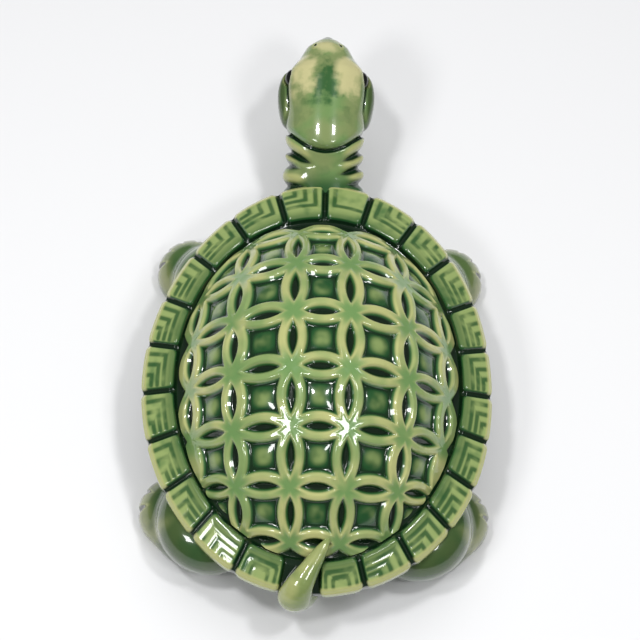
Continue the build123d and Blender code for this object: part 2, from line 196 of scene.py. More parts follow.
def slope_of(field, points):
    """Unit direction in which a distance field grows at each point."""
    slope = np.empty_like(points)
    for axis in range(3):
        shift = np.zeros(3)
        shift[axis] = SLOPE_REACH
        slope[:, axis] = field(*(points + shift).T) - field(*(points - shift).T)
    return slope / np.maximum(np.linalg.norm(slope, axis=1, keepdims=True), TINY)


def close_bubbles(values):
    """Fills each hollow of a single grid point, which has the body all round it."""
    inside = values < 0
    walled = np.ones_like(inside)
    for axis in range(3):
        for way in (-1, 1):
            walled &= np.roll(inside, way, axis)
    values[walled] = -1.0


def skin_of(field, low, high, pitch):
    """Points and faces of the surface where a distance field is zero, on a grid of cells."""
    axes = [np.arange(a, b + pitch, pitch) for a, b in zip(low, high)]
    shape = tuple(len(axis) for axis in axes)
    values = np.empty(shape, dtype=np.float32)
    for index, height in enumerate(axes[2]):
        x, y = np.meshgrid(axes[0], axes[1], indexing="ij")
        values[:, :, index] = field(x.ravel(), y.ravel(), np.full(x.size, height)).reshape(x.shape)
    close_bubbles(values)
    inside = values < 0
    cell_shape = tuple(size - 1 for size in shape)
    total = np.zeros(cell_shape + (3,), dtype=np.float32)
    count = np.zeros(cell_shape, dtype=np.float32)
    for axis in range(3):
        left, right = (other for other in range(3) if other != axis)
        turned, turned_count, turned_total = (np.moveaxis(grid, axis, 0) for grid in (values, count, total))
        first, second = turned[:-1], turned[1:]
        crossed = (first < 0) != (second < 0)
        place = np.where(crossed, first / np.where(crossed, first - second, 1), 0)
        for a in (0, 1):
            for b in (0, 1):
                cut = np.s_[:, a : a + cell_shape[left], b : b + cell_shape[right]]
                here = crossed[cut]
                turned_count += here
                turned_total[..., axis] += place[cut] * here
                turned_total[..., left] += a * here
                turned_total[..., right] += b * here
    active = count > 0
    number = np.full(cell_shape, -1, dtype=np.int64)
    number[active] = np.arange(active.sum())
    cells = np.argwhere(active)
    points = cells + total[active] / count[active][:, None]
    points = points * pitch + np.array([axis[0] for axis in axes])
    faces = []
    for axis in range(3):
        near = [slice(1, -1)] * 3
        far = [slice(1, -1)] * 3
        near[axis] = slice(0, -1)
        far[axis] = slice(1, None)
        first, second = inside[tuple(near)], inside[tuple(far)]
        base = np.argwhere(first != second)
        grow = first[tuple(base.T)]
        ring = []
        for a, b in ((0, 0), (1, 0), (1, 1), (0, 1)):
            cell = base.copy()
            cell[:, (axis + 1) % 3] += a
            cell[:, (axis + 2) % 3] += b
            ring.append(number[tuple(cell.T)])
        quad = np.stack(ring, axis=1)
        quad[~grow] = quad[~grow][:, ::-1]
        faces.append(quad)
    faces = np.concatenate(faces)
    faces = faces[(faces >= 0).all(axis=1)]
    for _ in range(SETTLE_ROUNDS):
        step = np.clip(field(*points.T), -pitch, pitch)
        points = points - slope_of(field, points) * step[:, None]
    return points, faces


def glaze_depth(field, points, *reaches):
    """How far each point lies in a hollow (pool) or on a sharp ridge (edge), from 0 to 1."""
    outward = slope_of(field, points)
    pool = np.zeros(len(points))
    edge = np.zeros(len(points))
    for reach in reaches:
        open_share = field(*(points + outward * reach).T) / reach
        thick_share = -field(*(points - outward * reach).T) / reach
        pool += np.clip(1 - open_share, 0, 1) / len(reaches)
        edge += np.clip(1 - thick_share, 0, 1) / len(reaches)
    return pool, edge


# Dome and lattice


def dome_rise(x, y):
    """Height over the table of the lattice's top."""
    drop_share = (2 * x / DOME_WIDTH) ** 2 + (2 * y / DOME_LENGTH) ** 2
    steep = sin(radians(DOME_ARC)) ** 2
    level = cos(radians(DOME_ARC))
    return DOME_LIFT + DOME_HEIGHT * (np.sqrt(np.maximum(1 - steep * drop_share, 0)) - level) / (1 - level)


def extended(place, shares):
    """Value of a row of shares at places counted in steps, carried on in line past its ends."""
    first = np.clip(np.floor(place).astype(int), 0, len(shares) - 2)
    return shares[first] + (shares[first + 1] - shares[first]) * (place - first)


def counted(value, shares):
    """The place, counted in steps, at which a row of shares has a value: the other way round."""
    rising = shares if shares[-1] > shares[0] else -shares
    value = value if shares[-1] > shares[0] else -value
    first = np.clip(np.searchsorted(rising, value) - 1, 0, len(shares) - 2)
    return first + (value - rising[first]) / (rising[first + 1] - rising[first])


def plan_of(column, row):
    """Place in plan of a point of the lattice's grid."""
    x_share = extended(column, COLUMN_SHARES)
    y_share = extended(row, ROW_SHARES)
    x = DOME_WIDTH / 2 * x_share * (1 - COLUMN_PINCH_SHARE * y_share**2)
    y = DOME_LENGTH / 2 * y_share * (1 - ROW_PINCH_SHARE * x_share**2)
    return x, y


def grid_of(x, y):
    """Grid column and row of a place in plan."""
    x_plan, y_plan = 2 * x / DOME_WIDTH, 2 * y / DOME_LENGTH
    x_share, y_share = x_plan, y_plan
    for _ in range(GRID_ROUNDS):
        next_x_share = x_plan / (1 - COLUMN_PINCH_SHARE * y_share**2)
        y_share = y_plan / (1 - ROW_PINCH_SHARE * x_share**2)
        x_share = next_x_share
    return counted(x_share, COLUMN_SHARES), counted(y_share, ROW_SHARES)


LAST_COLUMN = len(COLUMN_SHARES) - 1
LAST_ROW = len(ROW_SHARES) - 1


def lens_gap(across, along):
    """Distance, in grid steps, outside a pointed lens whose tips lie along its second way."""
    radius = (LENS_REACH_SHARE**2 + LENS_SIDE_SHARE**2) / (2 * LENS_SIDE_SHARE)
    middle = radius - LENS_SIDE_SHARE
    left = np.hypot(across - middle, along)
    right = np.hypot(across + middle, along)
    return np.maximum(left, right) - radius


def cell_gap(across, along):
    """Distance, in grid steps, outside a four-cornered hole with hollow sides."""
    sagitta = CELL_CORNER_SHARE - CELL_SIDE_SHARE
    radius = (CELL_CORNER_SHARE**2 + sagitta**2) / (2 * sagitta)
    middle = CELL_SIDE_SHARE + radius
    gap = np.full(np.shape(across), -FAR)
    for side in (-1, 1):
        gap = np.maximum(gap, radius - np.hypot(across - side * middle, along))
        gap = np.maximum(gap, radius - np.hypot(across, along - side * middle))
    far = np.maximum(abs(across), abs(along)) - CELL_CORNER_SHARE
    return np.maximum(gap, far)


def border_gap(column, row):
    """Distance, in grid steps, inside the lattice's scalloped border."""

    def swell(place):
        share = np.clip(place - np.floor(place), 0, 1)
        return BORDER_NODE_SHARE + (BORDER_SIDE_SHARE - BORDER_NODE_SHARE) * 4 * share * (1 - share)

    column_in = np.clip(column, 1, LAST_COLUMN - 1)
    row_in = np.clip(row, 1, LAST_ROW - 1)
    gap = np.minimum(row + swell(column_in), LAST_ROW - row + swell(column_in))
    gap = np.minimum(gap, np.minimum(column + swell(row_in), LAST_COLUMN - column + swell(row_in)))
    for flip_column in (False, True):
        for flip_row in (False, True):
            near_column = LAST_COLUMN - column if flip_column else column
            near_row = LAST_ROW - row if flip_row else row
            past = (1 - near_column - near_row) / np.sqrt(2)
            along = np.clip((near_column - near_row + 1) / 2, 0.001, 0.999)
            gap = np.minimum(gap, swell(along) - past)
    return gap


def cell_swell(column, row):
    """1 in the middle of a cell and 0 at its sides, without creases."""
    across = np.clip(abs(column - np.floor(column) - 0.5) / CELL_SIDE_SHARE, 0, 1)
    along = np.clip(abs(row - np.floor(row) - 0.5) / CELL_SIDE_SHARE, 0, 1)
    return (1 - across**2) * (1 - along**2)


def lattice_gaps(column, row):
    """Grid distances to the nearest lens, cell and border, all positive on a band."""
    near_column, near_row = np.round(column), np.round(row)
    mid_column, mid_row = np.floor(column) + 0.5, np.floor(row) + 0.5
    middle_column = np.clip(mid_column, 0.5, LAST_COLUMN - 0.5)
    middle_row = np.clip(mid_row, 0.5, LAST_ROW - 0.5)
    corner = ~(between(middle_column, 1, LAST_COLUMN - 1) | between(middle_row, 1, LAST_ROW - 1))
    border = border_gap(column, row)
    gap = cell_gap(column - middle_column, row - middle_row)
    cell = np.where(corner, np.maximum(gap, BORDER_NODE_SHARE - border), gap)
    allowed = between(mid_row, 0, LAST_ROW) & between(near_column, -1, LAST_COLUMN + 1)
    allowed &= between(near_column, 0, LAST_COLUMN) | between(mid_row, 1, LAST_ROW - 2)
    lens = np.where(allowed, lens_gap(column - near_column, row - mid_row), FAR)
    allowed = between(mid_column, 0, LAST_COLUMN) & between(near_row, -1, LAST_ROW + 1)
    allowed &= between(near_row, 0, LAST_ROW) | between(mid_column, 1, LAST_COLUMN - 1)
    gap = np.maximum(lens_gap(row - near_row, column - mid_column), LENS_BORDER_SHARE - border)
    lens = np.minimum(lens, np.where(allowed, gap, FAR))
    return lens, cell, border


def lattice_reach(x, y):
    """Distances in millimetres on the dome: to the nearest lens, cell and border from a band."""
    column, row = grid_of(x, y)

    def on_dome(column_at, row_at):
        plan_x, plan_y = plan_of(column_at, row_at)
        return np.stack([plan_x, plan_y, dome_rise(plan_x, plan_y)])

    here = on_dome(column, row)
    column_size = np.linalg.norm(on_dome(column + NUDGE, row) - here, axis=0) / NUDGE
    row_size = np.linalg.norm(on_dome(column, row + NUDGE) - here, axis=0) / NUDGE
    middle = lattice_gaps(column, row)
    right = lattice_gaps(column + NUDGE, row)
    back = lattice_gaps(column, row + NUDGE)
    reaches = []
    for at, beside, behind in zip(middle, right, back):
        across, along = (beside - at) / NUDGE, (behind - at) / NUDGE
        typical = 1 / np.sqrt(column_size * row_size)
        low, high = (typical * share for share in STEEP_SHARES)
        steep = np.clip(np.hypot(across / column_size, along / row_size), low, high)
        reaches.append(at / steep)
    return reaches


DOME_COUNT = 440
CELL_SLOPE = 1.5
NODE_REACHES = (0.1, 0.4)
NODE_BLEND = 1.2
NODE_CLEAR = (0.3, 1.7)
FOOT_START_SHARE = 0.9
FOOT_UPRIGHT_SHARE = 0.2
DOME_SINK = 1.0
LENS_DEEP = 1.6
CHANNEL_REACHES = (-0.2, 1.0)


def make_shell_dome(material):
    """The dome with its lattice as one glazed sheet from crown to foot."""
    flat = np.linspace(-1, 1, DOME_COUNT)
    across, along = np.meshgrid(flat, flat, indexing="ij")
    x_share = (across * np.sqrt(1 - along**2 / 2)).ravel()
    y_share = (along * np.sqrt(1 - across**2 / 2)).ravel()
    x = DOME_WIDTH / 2 * x_share
    y = DOME_LENGTH / 2 * y_share
    lens, cell, border = lattice_reach(x, y)
    hole = np.minimum(lens, cell)
    band = step_up(np.minimum(hole, border), -WALL_REACH, BAND_REACH)
    column, row = grid_of(x, y)
    swell = cell_swell(column, row) * step_up(-cell, 0, CELL_SLOPE)
    crossing = np.hypot(column - np.round(column), row - np.round(row))
    node = 1 - step_up(crossing, *NODE_REACHES)
    node *= step_up(blend_least(lens, cell, NODE_BLEND), *NODE_CLEAR)
    depth = RELIEF * (1 - band) - FLOOR_SWELL * swell + NODE_SINK * node * band
    top = np.stack([x, y, dome_rise(x, y)], axis=1)
    slope_x = (dome_rise(x + NUDGE, y) - dome_rise(x - NUDGE, y)) / (2 * NUDGE)
    slope_y = (dome_rise(x, y + NUDGE) - dome_rise(x, y - NUDGE)) / (2 * NUDGE)
    tilt = 1 - FOOT_UPRIGHT_SHARE * step_up(np.hypot(x_share, y_share), FOOT_START_SHARE, 1)
    outward = np.stack([-slope_x * tilt, -slope_y * tilt, np.ones_like(x)], axis=1)
    outward /= np.linalg.norm(outward, axis=1, keepdims=True)
    points = top - outward * depth[:, None]
    points[:, 2] = np.maximum(points[:, 2], DOME_LIFT - DOME_SINK)
    faces = grid_faces(DOME_COUNT, DOME_COUNT)[:, ::-1]
    nodes = ["carapace_dome", "coin_lattice"]
    outside = border < 0
    marks = {
        "band": band,
        "node": node * band,
        "cell": np.where(outside, 0, swell),
        "lens": np.where(outside, 0, np.clip(-lens / LENS_DEEP, 0, 1)),
        # Where the channel's painted shade is laid, outside the lattice's border
        "channel": step_up(-border, *CHANNEL_REACHES),
    }
    make_piece("shell_dome", points, faces, nodes, material, "glaze_lattice", **marks)


# Rim and scutes

# How far the rim's edge reaches at twelve even steps round the shell, as a share of its usual width
EDGE_SHARES = (1.12, 1.08, 0.97, 0.91, 1.04, 0.94, 0.87, 0.95, 1.0, 1.0, 0.91, 0.94)
KEY_SHARES = (0.22, 0.44, 0.66)
KEY_END_SHARES = (0.84, 0.88)
KEY_BLENDS = (0.07, 0.2)
KEY_WIDTH = 1.0
KEY_DEPTH = 0.13
ARCH_SHARE = 1.35
SCUTE_REACH_DEGREES = 3
SCUTE_STEP_DEGREES = 0.5
CORNER_BLEND = 1.8
CORNER_CLEAR = 0.9
SCUTE_SLOPE = (-0.8, 0.95)
LIP_SLOPE = 1.6
LIP_ROUND_SHARE = 0.5
CHANNEL_DEPTH = 0.7
CHANNEL_SLOPE = 1.2
GAP_NOTCH = 0.7
GAP_SLOPE = (-0.85, 1.8)
GAP_START_SHARE = 0.55
PALE_LIP = (0.5, 2.8)
DARK_INNER = (-0.5, 7.0)
LIP_BULGE = 0.25
LEAST_LIP_MARK = 0.35
RIM_STEPS = 1600
RIM_START_SHARE = -0.62
UNDER_END_SHARE = -0.28
START_ROWS = 14
TOP_ROWS = 66
LIP_ROWS = 14
UNDER_ROWS = 16
UNDER_MARKS = {"scute": 0.3, "key": 0.0, "lip": 0.2, "inner": 0.0}


def edge_share(angle):
    """Reach of the rim's edge at an angle, smooth between the measured ones."""
    steps = len(EDGE_SHARES)
    waves = np.fft.rfft(EDGE_SHARES) / steps
    turn = np.radians(angle)
    reach = np.full(np.shape(turn), waves[0].real)
    for order in range(1, steps // 2):
        reach = reach + 2 * (waves[order] * np.exp(1j * order * turn)).real
    return reach


def rim_point(angle, share):
    """A point on the flange: share 0 at the channel and 1 at the rim's edge."""
    turn = np.radians(angle)
    reach = np.where(share > 0, share * edge_share(angle), share)
    half_width = DOME_WIDTH / 2 + CHANNEL_WIDTH + SCUTE_SIDE_WIDTH * reach
    half_length = DOME_LENGTH / 2 + CHANNEL_WIDTH + SCUTE_END_WIDTH * reach
    x = half_width * np.sin(turn)
    y = half_length * np.cos(turn) + RIM_SHIFT * np.clip(share, 0, 2)
    return np.stack(np.broadcast_arrays(x, y, DOME_LIFT - RIM_DROP * share), axis=-1)


def scute_reach(angle, share):
    """For places on the rim: distances in millimetres into the scute there, and to its key strokes."""
    angle = (np.asarray(angle) + 180) % 360 - 180
    width = np.linalg.norm(rim_point(angle, 1) - rim_point(angle, 0), axis=-1)
    step = SCUTE_STEP_DEGREES
    length = np.linalg.norm(rim_point(angle + step, share) - rim_point(angle - step, share), axis=-1)
    per_degree = length / (2 * step)
    side = np.full(np.shape(angle), -FAR)
    key = np.full(np.shape(angle), FAR)
    for angles in (RIGHT_ANGLES, LEFT_ANGLES):
        for index, (front, rear) in enumerate(zip(angles, angles[1:])):
            low, high = min(front, rear), max(front, rear)
            span = high - low
            here = between(angle, low - SCUTE_REACH_DEGREES, high + SCUTE_REACH_DEGREES)
            from_front = (angle - front) * np.sign(rear - front)
            inside = np.minimum(from_front, span - from_front) * per_degree - SCUTE_GAP / 2
            side = np.where(here, np.maximum(side, inside), side)
            place = from_front / span
            arch = index == len(angles) - 2
            over = np.minimum(place, 1 - place) * ARCH_SHARE if arch else place
            nest = blend_least(over, share, KEY_BLENDS[arch])
            size = np.where(over < share, span * per_degree, width)
            starts = KEY_SHARES[:1] if index == 0 and angles is RIGHT_ANGLES else KEY_SHARES
            starts = starts[:2] if arch else starts
            away = np.min([abs(nest - start) for start in starts], axis=0) * size
            ends = np.maximum(share - KEY_END_SHARES[0], 0) * width
            if not arch:
                ends = ends + np.maximum(place - KEY_END_SHARES[1], 0) * span * per_degree
            key = np.where(here & (inside > -0.5), np.minimum(key, np.hypot(away, ends)), key)
    return side, share * width, (1 - share) * width, key


def make_shell_rim(material):
    """The rim from the dome's foot over the scutes, round its lip and back under to the belly."""
    angles = np.arange(RIM_STEPS) * 360 / RIM_STEPS
    right, front = np.sin(np.radians(angles)), np.cos(np.radians(angles))
    start_shares = np.linspace(RIM_START_SHARE, 0, START_ROWS)[:-1]
    rows = []
    marks = {label: [] for label in UNDER_MARKS}

    def add_row(place, **values):
        rows.append(place)
        for label, value in values.items():
            marks[label].append(np.broadcast_to(value, RIM_STEPS))

    for share in (*start_shares, *np.linspace(0, 1, TOP_ROWS)):
        side, inner, outer, key = scute_reach(angles, np.full(RIM_STEPS, share))
        inner = inner + SCUTE_INSET + FRONT_INSET * np.maximum(front, 0) ** 4
        corner = blend_least(side, outer + CORNER_CLEAR, CORNER_BLEND)
        body = step_up(blend_least(corner, inner, CORNER_BLEND), *SCUTE_SLOPE)
        lip = 1 - step_up(outer, 0, LIP_SLOPE)
        groove = np.exp(-((key / KEY_WIDTH) ** 2))
        rise = (SCUTE_THICKNESS * body - KEY_DEPTH * groove * body) * (1 - LIP_ROUND_SHARE * lip**2)
        rise -= CHANNEL_DEPTH * step_up(-inner, 0, CHANNEL_SLOPE)
        notch = GAP_NOTCH * (1 - step_up(side, *GAP_SLOPE)) * step_up(share, GAP_START_SHARE, 1)
        place = rim_point(angles, share - notch / SCUTE_SIDE_WIDTH)
        place[:, 2] = np.minimum(place[:, 2], DOME_LIFT) + rise
        pale, dark = 1 - step_up(outer, *PALE_LIP), 1 - step_up(inner, *DARK_INNER)
        add_row(place, scute=body, key=groove * body, lip=pale, inner=dark)
    low = DOME_LIFT - RIM_DROP - RIM_THICKNESS
    last_top = rows[-1]
    for step in range(1, LIP_ROWS + 1):
        turn = radians(180 * step / LIP_ROWS)
        height = (1 + cos(turn)) / 2
        place = last_top.copy()
        place[:, 2] = low + (last_top[:, 2] - low) * height
        place[:, 0] += LIP_BULGE * sin(turn) * right
        place[:, 1] += LIP_BULGE * sin(turn) * front
        add_row(place, scute=body, key=0, lip=max(height, LEAST_LIP_MARK), inner=0)
    for step in range(1, UNDER_ROWS + 1):
        sink = step / UNDER_ROWS
        place = last_top * (1 - sink) + rim_point(angles, UNDER_END_SHARE) * sink
        place[:, 2] = low + (DOME_LIFT - RIM_THICKNESS - low) * sink
        add_row(place, **UNDER_MARKS)
    points = np.concatenate(rows)
    faces = grid_faces(len(rows), RIM_STEPS, closed=True)
    nodes = ["carapace_rim"] + [f"marginal_scute_{number:02d}" for number in range(1, 24)]
    flat_marks = {label: np.concatenate(values) for label, values in marks.items()}
    make_piece("shell_rim", points, faces, nodes, material, "glaze_scutes", **flat_marks)


# Neck and head

BELLY_LIFT = belly_low.z / MM
BELLY_SIDE_DRAFT = 7.5
BELLY_END_DRAFT = 8.5
BELLY_HALF_WIDTH = DOME_WIDTH / 2 - BELLY_SIDE_DRAFT
BELLY_HALF_LENGTH = DOME_LENGTH / 2 - BELLY_END_DRAFT
NECK_START_Y = BELLY_HALF_LENGTH - 2.0
NECK_BASE_DEPTH = 11.0
NECK_DEPTH = 20.0
NECK_WIDTH = 30.0
NECK_BEND = 66.5
NECK_TURN = 40.0
NECK_SPREAD = 1.3
NECK_NARROWING = 2.1
NECK_SHARES = (-0.02, 1.06)
NECK_END_BLEND = 1.5
NECK_START_Z = BELLY_LIFT + NECK_BASE_DEPTH / 2
HEAD_LENGTH = 45.5
HEAD_WIDTH = 28.8
HEAD_DEPTH = 24.0
HEAD_TILT = 15.0
HEAD_SET_BACK = 6.4
HEAD_SET_DOWN = 0.6
HEAD_START_Y = NECK_START_Y + NECK_BEND * sin(radians(NECK_TURN)) - HEAD_SET_BACK
HEAD_START_Z = NECK_START_Z + NECK_BEND * (1 - cos(radians(NECK_TURN))) - HEAD_SET_DOWN
JAW_DEPTH_SHARE = 0.92
LEAST_HALF_WIDTH = 0.05

# The skull's outline from above: shares of the head's length, and of its width there
SKULL_PLACES = [-0.1, -0.08, -0.05, 0.0, 0.1, 0.45, 0.62, 0.7, 0.755, 0.81, 0.865, 0.92, 0.955, 0.975, 0.985]
SKULL_WIDTHS = [0.0, 0.5, 0.8, 0.9, 0.98, 1.0, 1.0, 0.96, 0.84, 0.71, 0.61, 0.49, 0.32, 0.17, 0.0]
TABLE_COUNT = 400


def smooth_table(xs, ys):
    """A table of a smooth curve through given points."""
    xs, ys = np.array(xs), np.array(ys)
    slopes = np.diff(ys) / np.diff(xs)
    tangents = np.concatenate([[slopes[0]], (slopes[:-1] + slopes[1:]) / 2, [slopes[-1]]])
    for index in range(1, len(xs) - 1):
        if slopes[index - 1] * slopes[index] <= 0:
            tangents[index] = 0
    fine = np.linspace(xs[0], xs[-1], TABLE_COUNT)
    first = np.clip(np.searchsorted(xs, fine) - 1, 0, len(xs) - 2)
    span = xs[first + 1] - xs[first]
    share = (fine - xs[first]) / span
    value = (
        (2 * share**3 - 3 * share**2 + 1) * ys[first]
        + (share**3 - 2 * share**2 + share) * span * tangents[first]
        + (3 * share**2 - 2 * share**3) * ys[first + 1]
        + (share**3 - share**2) * span * tangents[first + 1]
    )
    return fine, np.maximum(value, 0)


SKULL_TABLE = smooth_table(SKULL_PLACES, SKULL_WIDTHS)


def head_place(x, y, z):
    """Coordinates in the head's own frame: across, up and along from its back."""
    level, rise = cos(radians(HEAD_TILT)), sin(radians(HEAD_TILT))
    along = (y - HEAD_START_Y) * level + (z - HEAD_START_Z) * rise
    up = -(y - HEAD_START_Y) * rise + (z - HEAD_START_Z) * level
    return x, up, along


def egg(x, y, z, middle, radii):
    """Distance to an egg, near enough for blending."""
    scaled = [(value - at) / radius for value, at, radius in zip((x, y, z), middle, radii)]
    length = np.sqrt(sum(value**2 for value in scaled))
    steep = np.sqrt(sum((value / radius) ** 2 for value, radius in zip(scaled, radii)))
    return length * (length - 1) / np.maximum(steep, TINY)


def skull(across, up, along):
    """Distance to the skull: a pear outline from above, flatter from the side."""
    size = np.interp(np.clip(along / HEAD_LENGTH, SKULL_PLACES[0], 1), *SKULL_TABLE)
    half_width = np.maximum(HEAD_WIDTH / 2 * size, LEAST_HALF_WIDTH)
    half_depth = HEAD_DEPTH / 2 * size * np.where(up < 0, JAW_DEPTH_SHARE, 1)
    distance = oval_gap(across, up, half_width, np.maximum(half_depth, LEAST_HALF_WIDTH))
    start, end = SKULL_PLACES[0] * HEAD_LENGTH, SKULL_PLACES[-1] * HEAD_LENGTH
    beyond = np.maximum(along - end, start - along)
    return np.where(beyond > 0, np.hypot(np.maximum(distance, 0), beyond), distance)


# Folds of the neck's skin: side, share of the neck at that side, how far it slants back towards
# the middle, its depth and how near to the middle it reaches
NECK_CREASES = (
    (-1, 0.94, 0.15, 2.4, 2.5),
    (-1, 0.82, 0.09, 2.0, 6.5),
    (-1, 0.64, 0.02, 1.8, 4.0),
    (1, 0.95, 0.15, 2.0, 4.0),
    (1, 0.82, 0.12, 2.3, 3.5),
    (1, 0.68, 0.05, 2.0, 6.0),
)
CREASE_RUN = 7.0
CREASE_WIDTH = 0.6
CREASE_SPREAD = 0.9
CREASE_SHARPNESS = 1.5
SWELL_HEIGHT = 0.4
SWELL_AWAY = 3.4
SWELL_WIDTH = 1.9


def neck_place(y, z):
    """Share of the way along the neck's bend, and height over its middle line."""
    ahead, below = y - NECK_START_Y, NECK_START_Z + NECK_BEND - z
    return np.arctan2(ahead, below) / radians(NECK_TURN), NECK_BEND - np.hypot(ahead, below)


def neck_folds(x, share):
    """Depth of the neck's creases and height of the skin that swells behind them."""
    out_share = np.clip(abs(x) / NECK_WIDTH * 2, 0, 1)
    fold, swell = np.zeros((2, *np.shape(x)))
    for side, place, slant, depth, reach in NECK_CREASES:
        line = place - slant * (1 - out_share)
        strength = step_up(side * x, reach, reach + CREASE_RUN)
        away = (share - line) * NECK_BEND * radians(NECK_TURN)
        width = CREASE_WIDTH + CREASE_SPREAD * strength
        fold += depth * strength * np.exp(-abs(away / width) ** CREASE_SHARPNESS)
        swell += SWELL_HEIGHT * strength * np.exp(-((away - SWELL_AWAY) / SWELL_WIDTH) ** 2)
    return fold, swell


def neck_field(x, y, z):
    """Distance to the neck, which bends up from the body in folds."""
    share, up = neck_place(y, z)
    inside_share = np.clip(share, 0, 1)
    fold, swell = neck_folds(x, share)
    half_width = NECK_WIDTH / 2 + NECK_SPREAD - NECK_NARROWING * inside_share
    half_depth = (NECK_BASE_DEPTH + (NECK_DEPTH - NECK_BASE_DEPTH) * inside_share) / 2
    distance = oval_gap(x, up, half_width, half_depth) + fold - swell
    low, high = NECK_SHARES
    beyond = np.maximum(share - high, low - share) * NECK_BEND * radians(NECK_TURN)
    return blend_most(distance, beyond, NECK_END_BLEND)


# Eggs in the head, each as its middle (across, up and along the head) and its radii
EYE = ((12.5, 2.4, HEAD_LENGTH - 16.6), (2.8, 2.3, 3.5))
NOSE = ((0, -0.6, HEAD_LENGTH - 5.4), (5.0, 4.8, 5.6))
BROW_EGG = ((8.7, 4.6, HEAD_LENGTH - 20.5), (4.5, 2.7, 9.0))
CHEEK = ((11.3, -2.6, HEAD_LENGTH - 24.5), (6.4, 6.6, 11.7))
LID = ((13.0, -0.5, HEAD_LENGTH - 21.6), (4.7, 3.3, 8.8))
NOSTRIL = ((4.4, 4.4, HEAD_LENGTH - 5.2), (0.6, 0.8, 1.3))
EYE_REACH = 5.0
EYE_PITCH = 0.35
SOCKET_GAP = 0.45
SOCKET = (EYE[0], [radius + SOCKET_GAP for radius in EYE[1]])

# How widely the eggs are blended into the head
BROW_BLEND = 3.0
NOSE_BLEND = 2.0
LID_BLEND = 1.5
FACE_BLEND = 0.3
HOOD_BLEND = 2.2
SOCKET_BLEND = 0.6
NOSTRIL_BLEND = 0.5
NECK_BLEND = 0.35

FACE_GROOVE = 0.55
FACE_GROOVE_WIDTH = 0.9
MOUTH_DOWN = 3.2
MOUTH_SLOPE = 0.05
MOUTH_WIDTH = 0.42
MOUTH_DEPTH = 0.85
MOUTH_REACHES = (HEAD_LENGTH - 17.0, HEAD_LENGTH - 13.0)
NAPE_GROOVE = 1.1
NAPE_GROOVE_WIDTH = 0.85
HOOD_START = 1.4
HOOD_SWEEP = 8.0
HOOD_HALF_WIDTH = 14.0
HOOD_LIMIT = 15.0


def hood_gap(across, along):
    """Distance in front of the head's rounded rear edge."""
    return along - HOOD_START - HOOD_SWEEP * (np.clip(abs(across), 0, HOOD_LIMIT) / HOOD_HALF_WIDTH) ** 2


def head_field(x, y, z):
    across, up, along = head_place(x, y, z)
    side = abs(across)
    hood = hood_gap(across, along)
    crown = blend_least(skull(across, up, along), egg(side, up, along, *BROW_EGG), BROW_BLEND)
    crown = blend_least(crown, egg(across, up, along, *NOSE), NOSE_BLEND)
    face = blend_least(egg(side, up, along, *CHEEK), egg(side, up, along, *LID), LID_BLEND)
    groove = FACE_GROOVE * np.exp(-(((crown - face) / FACE_GROOVE_WIDTH) ** 2))
    solid = blend_most(blend_least(crown, face, FACE_BLEND) + groove, -hood, HOOD_BLEND)
    solid = blend_most(solid, -egg(side, up, along, *SOCKET), SOCKET_BLEND)
    solid = blend_most(solid, -egg(side, up, along, *NOSTRIL), NOSTRIL_BLEND)
    over_mouth = up + MOUTH_DOWN + MOUTH_SLOPE * (HEAD_LENGTH - along)
    mouth = np.exp(-((over_mouth / MOUTH_WIDTH) ** 2)) * step_up(along, *MOUTH_REACHES)
    throat = neck_field(x, y, z) + NAPE_GROOVE * np.exp(-((hood / NAPE_GROOVE_WIDTH) ** 2))
    return blend_least(solid + MOUTH_DEPTH * mouth, throat, NECK_BLEND)


def eye_field(x, y, z):
    return egg(*head_place(x, y, z), *EYE)


def make_eyes(material):
    across, up, along = EYE[0]
    level, rise = cos(radians(HEAD_TILT)), sin(radians(HEAD_TILT))
    y = HEAD_START_Y + level * along - rise * up
    z = HEAD_START_Z + rise * along + level * up
    middle = np.array([across, y, z])
    points, faces = skin_of(eye_field, middle - EYE_REACH, middle + EYE_REACH, EYE_PITCH)
    make_piece("eye_right", points, faces, ["right_eye"], material, "glaze_eye")
    mirrored = points * np.array([-1, 1, 1])
    make_piece("eye_left", mirrored, faces[:, ::-1], ["left_eye"], material, "glaze_eye")


HEAD_PITCH = 0.5
HEAD_LOW = (-HEAD_WIDTH / 2 - 5, NECK_START_Y + 1, BELLY_LIFT - 3)
HEAD_HIGH = (HEAD_WIDTH / 2 + 5, HEAD_START_Y + HEAD_LENGTH + 1, HEAD_START_Z + 24)
HEAD_GLAZE_REACHES = (0.8, 2.6)

# Where the head's marks start and end: above its middle, to the side, behind its tip, from its back
TOP_RISE = (1.0, 6.0)
BROW_SIDES = (0.5, 8.5, 11.0, 16.0)
BROW_BACKS = (5.0, 15.0, 16.0, 30.0)
SNOUT_BACKS = (4.0, 12.0)
STRIPE_SIDES = (0.5, 7.0)
STRIPE_BACKS = (6.0, 17.0, 19.0, 34.0)
CHEEK_SWELL = (0.3, 1.6)
CHEEK_DROP = (-3.0, 2.0)
CHEEK_START = (5.0, 9.0)
# Shares of the neck over which its base is darkened as painted shade, under the rim's front edge
NECK_SHADE_SHARES = (0.62, 0.8)


